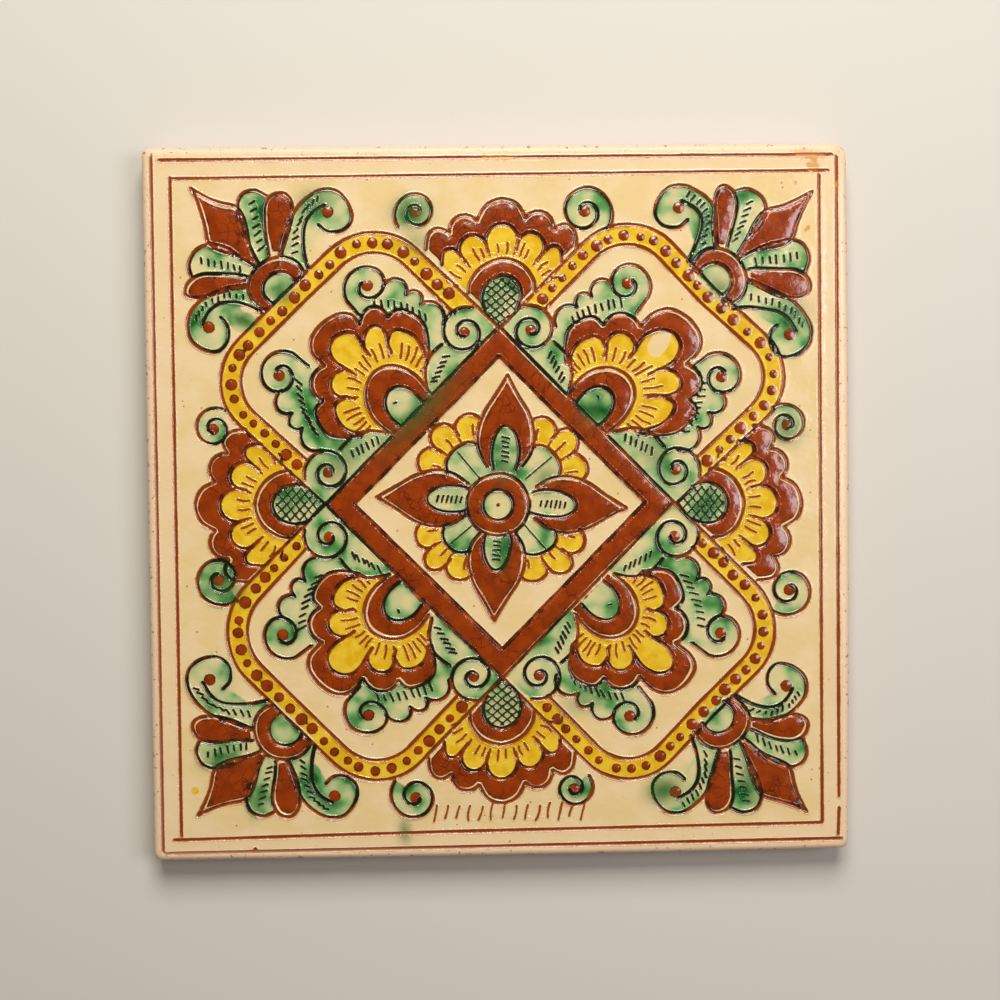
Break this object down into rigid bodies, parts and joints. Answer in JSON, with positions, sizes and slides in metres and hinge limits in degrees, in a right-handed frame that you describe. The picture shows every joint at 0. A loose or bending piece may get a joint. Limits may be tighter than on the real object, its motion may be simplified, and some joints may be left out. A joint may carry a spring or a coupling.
{
  "type": "decorative ceramic tile",
  "caption": "Nearly square glazed earthenware tile with a rolled edge, a flat plain back and an incised folk ornament of a rosette, palmettes, scrolls and dotted bands on its face.",
  "frame": {"origin": "middle of the tile's flat back", "axes": "+Z out of the decorated face, +Y to the top edge of the ornament, +X to its right edge"},
  "size_m": [0.199, 0.2014, 0.011],
  "materials": {
    "tile": "clear gloss glaze over cream slip, with brown slip, amber yellow and copper green painted in; bare red clay on the back"
  },
  "bodies": {
    "root": {"tile": "tile"}
  },
  "joints": []
}
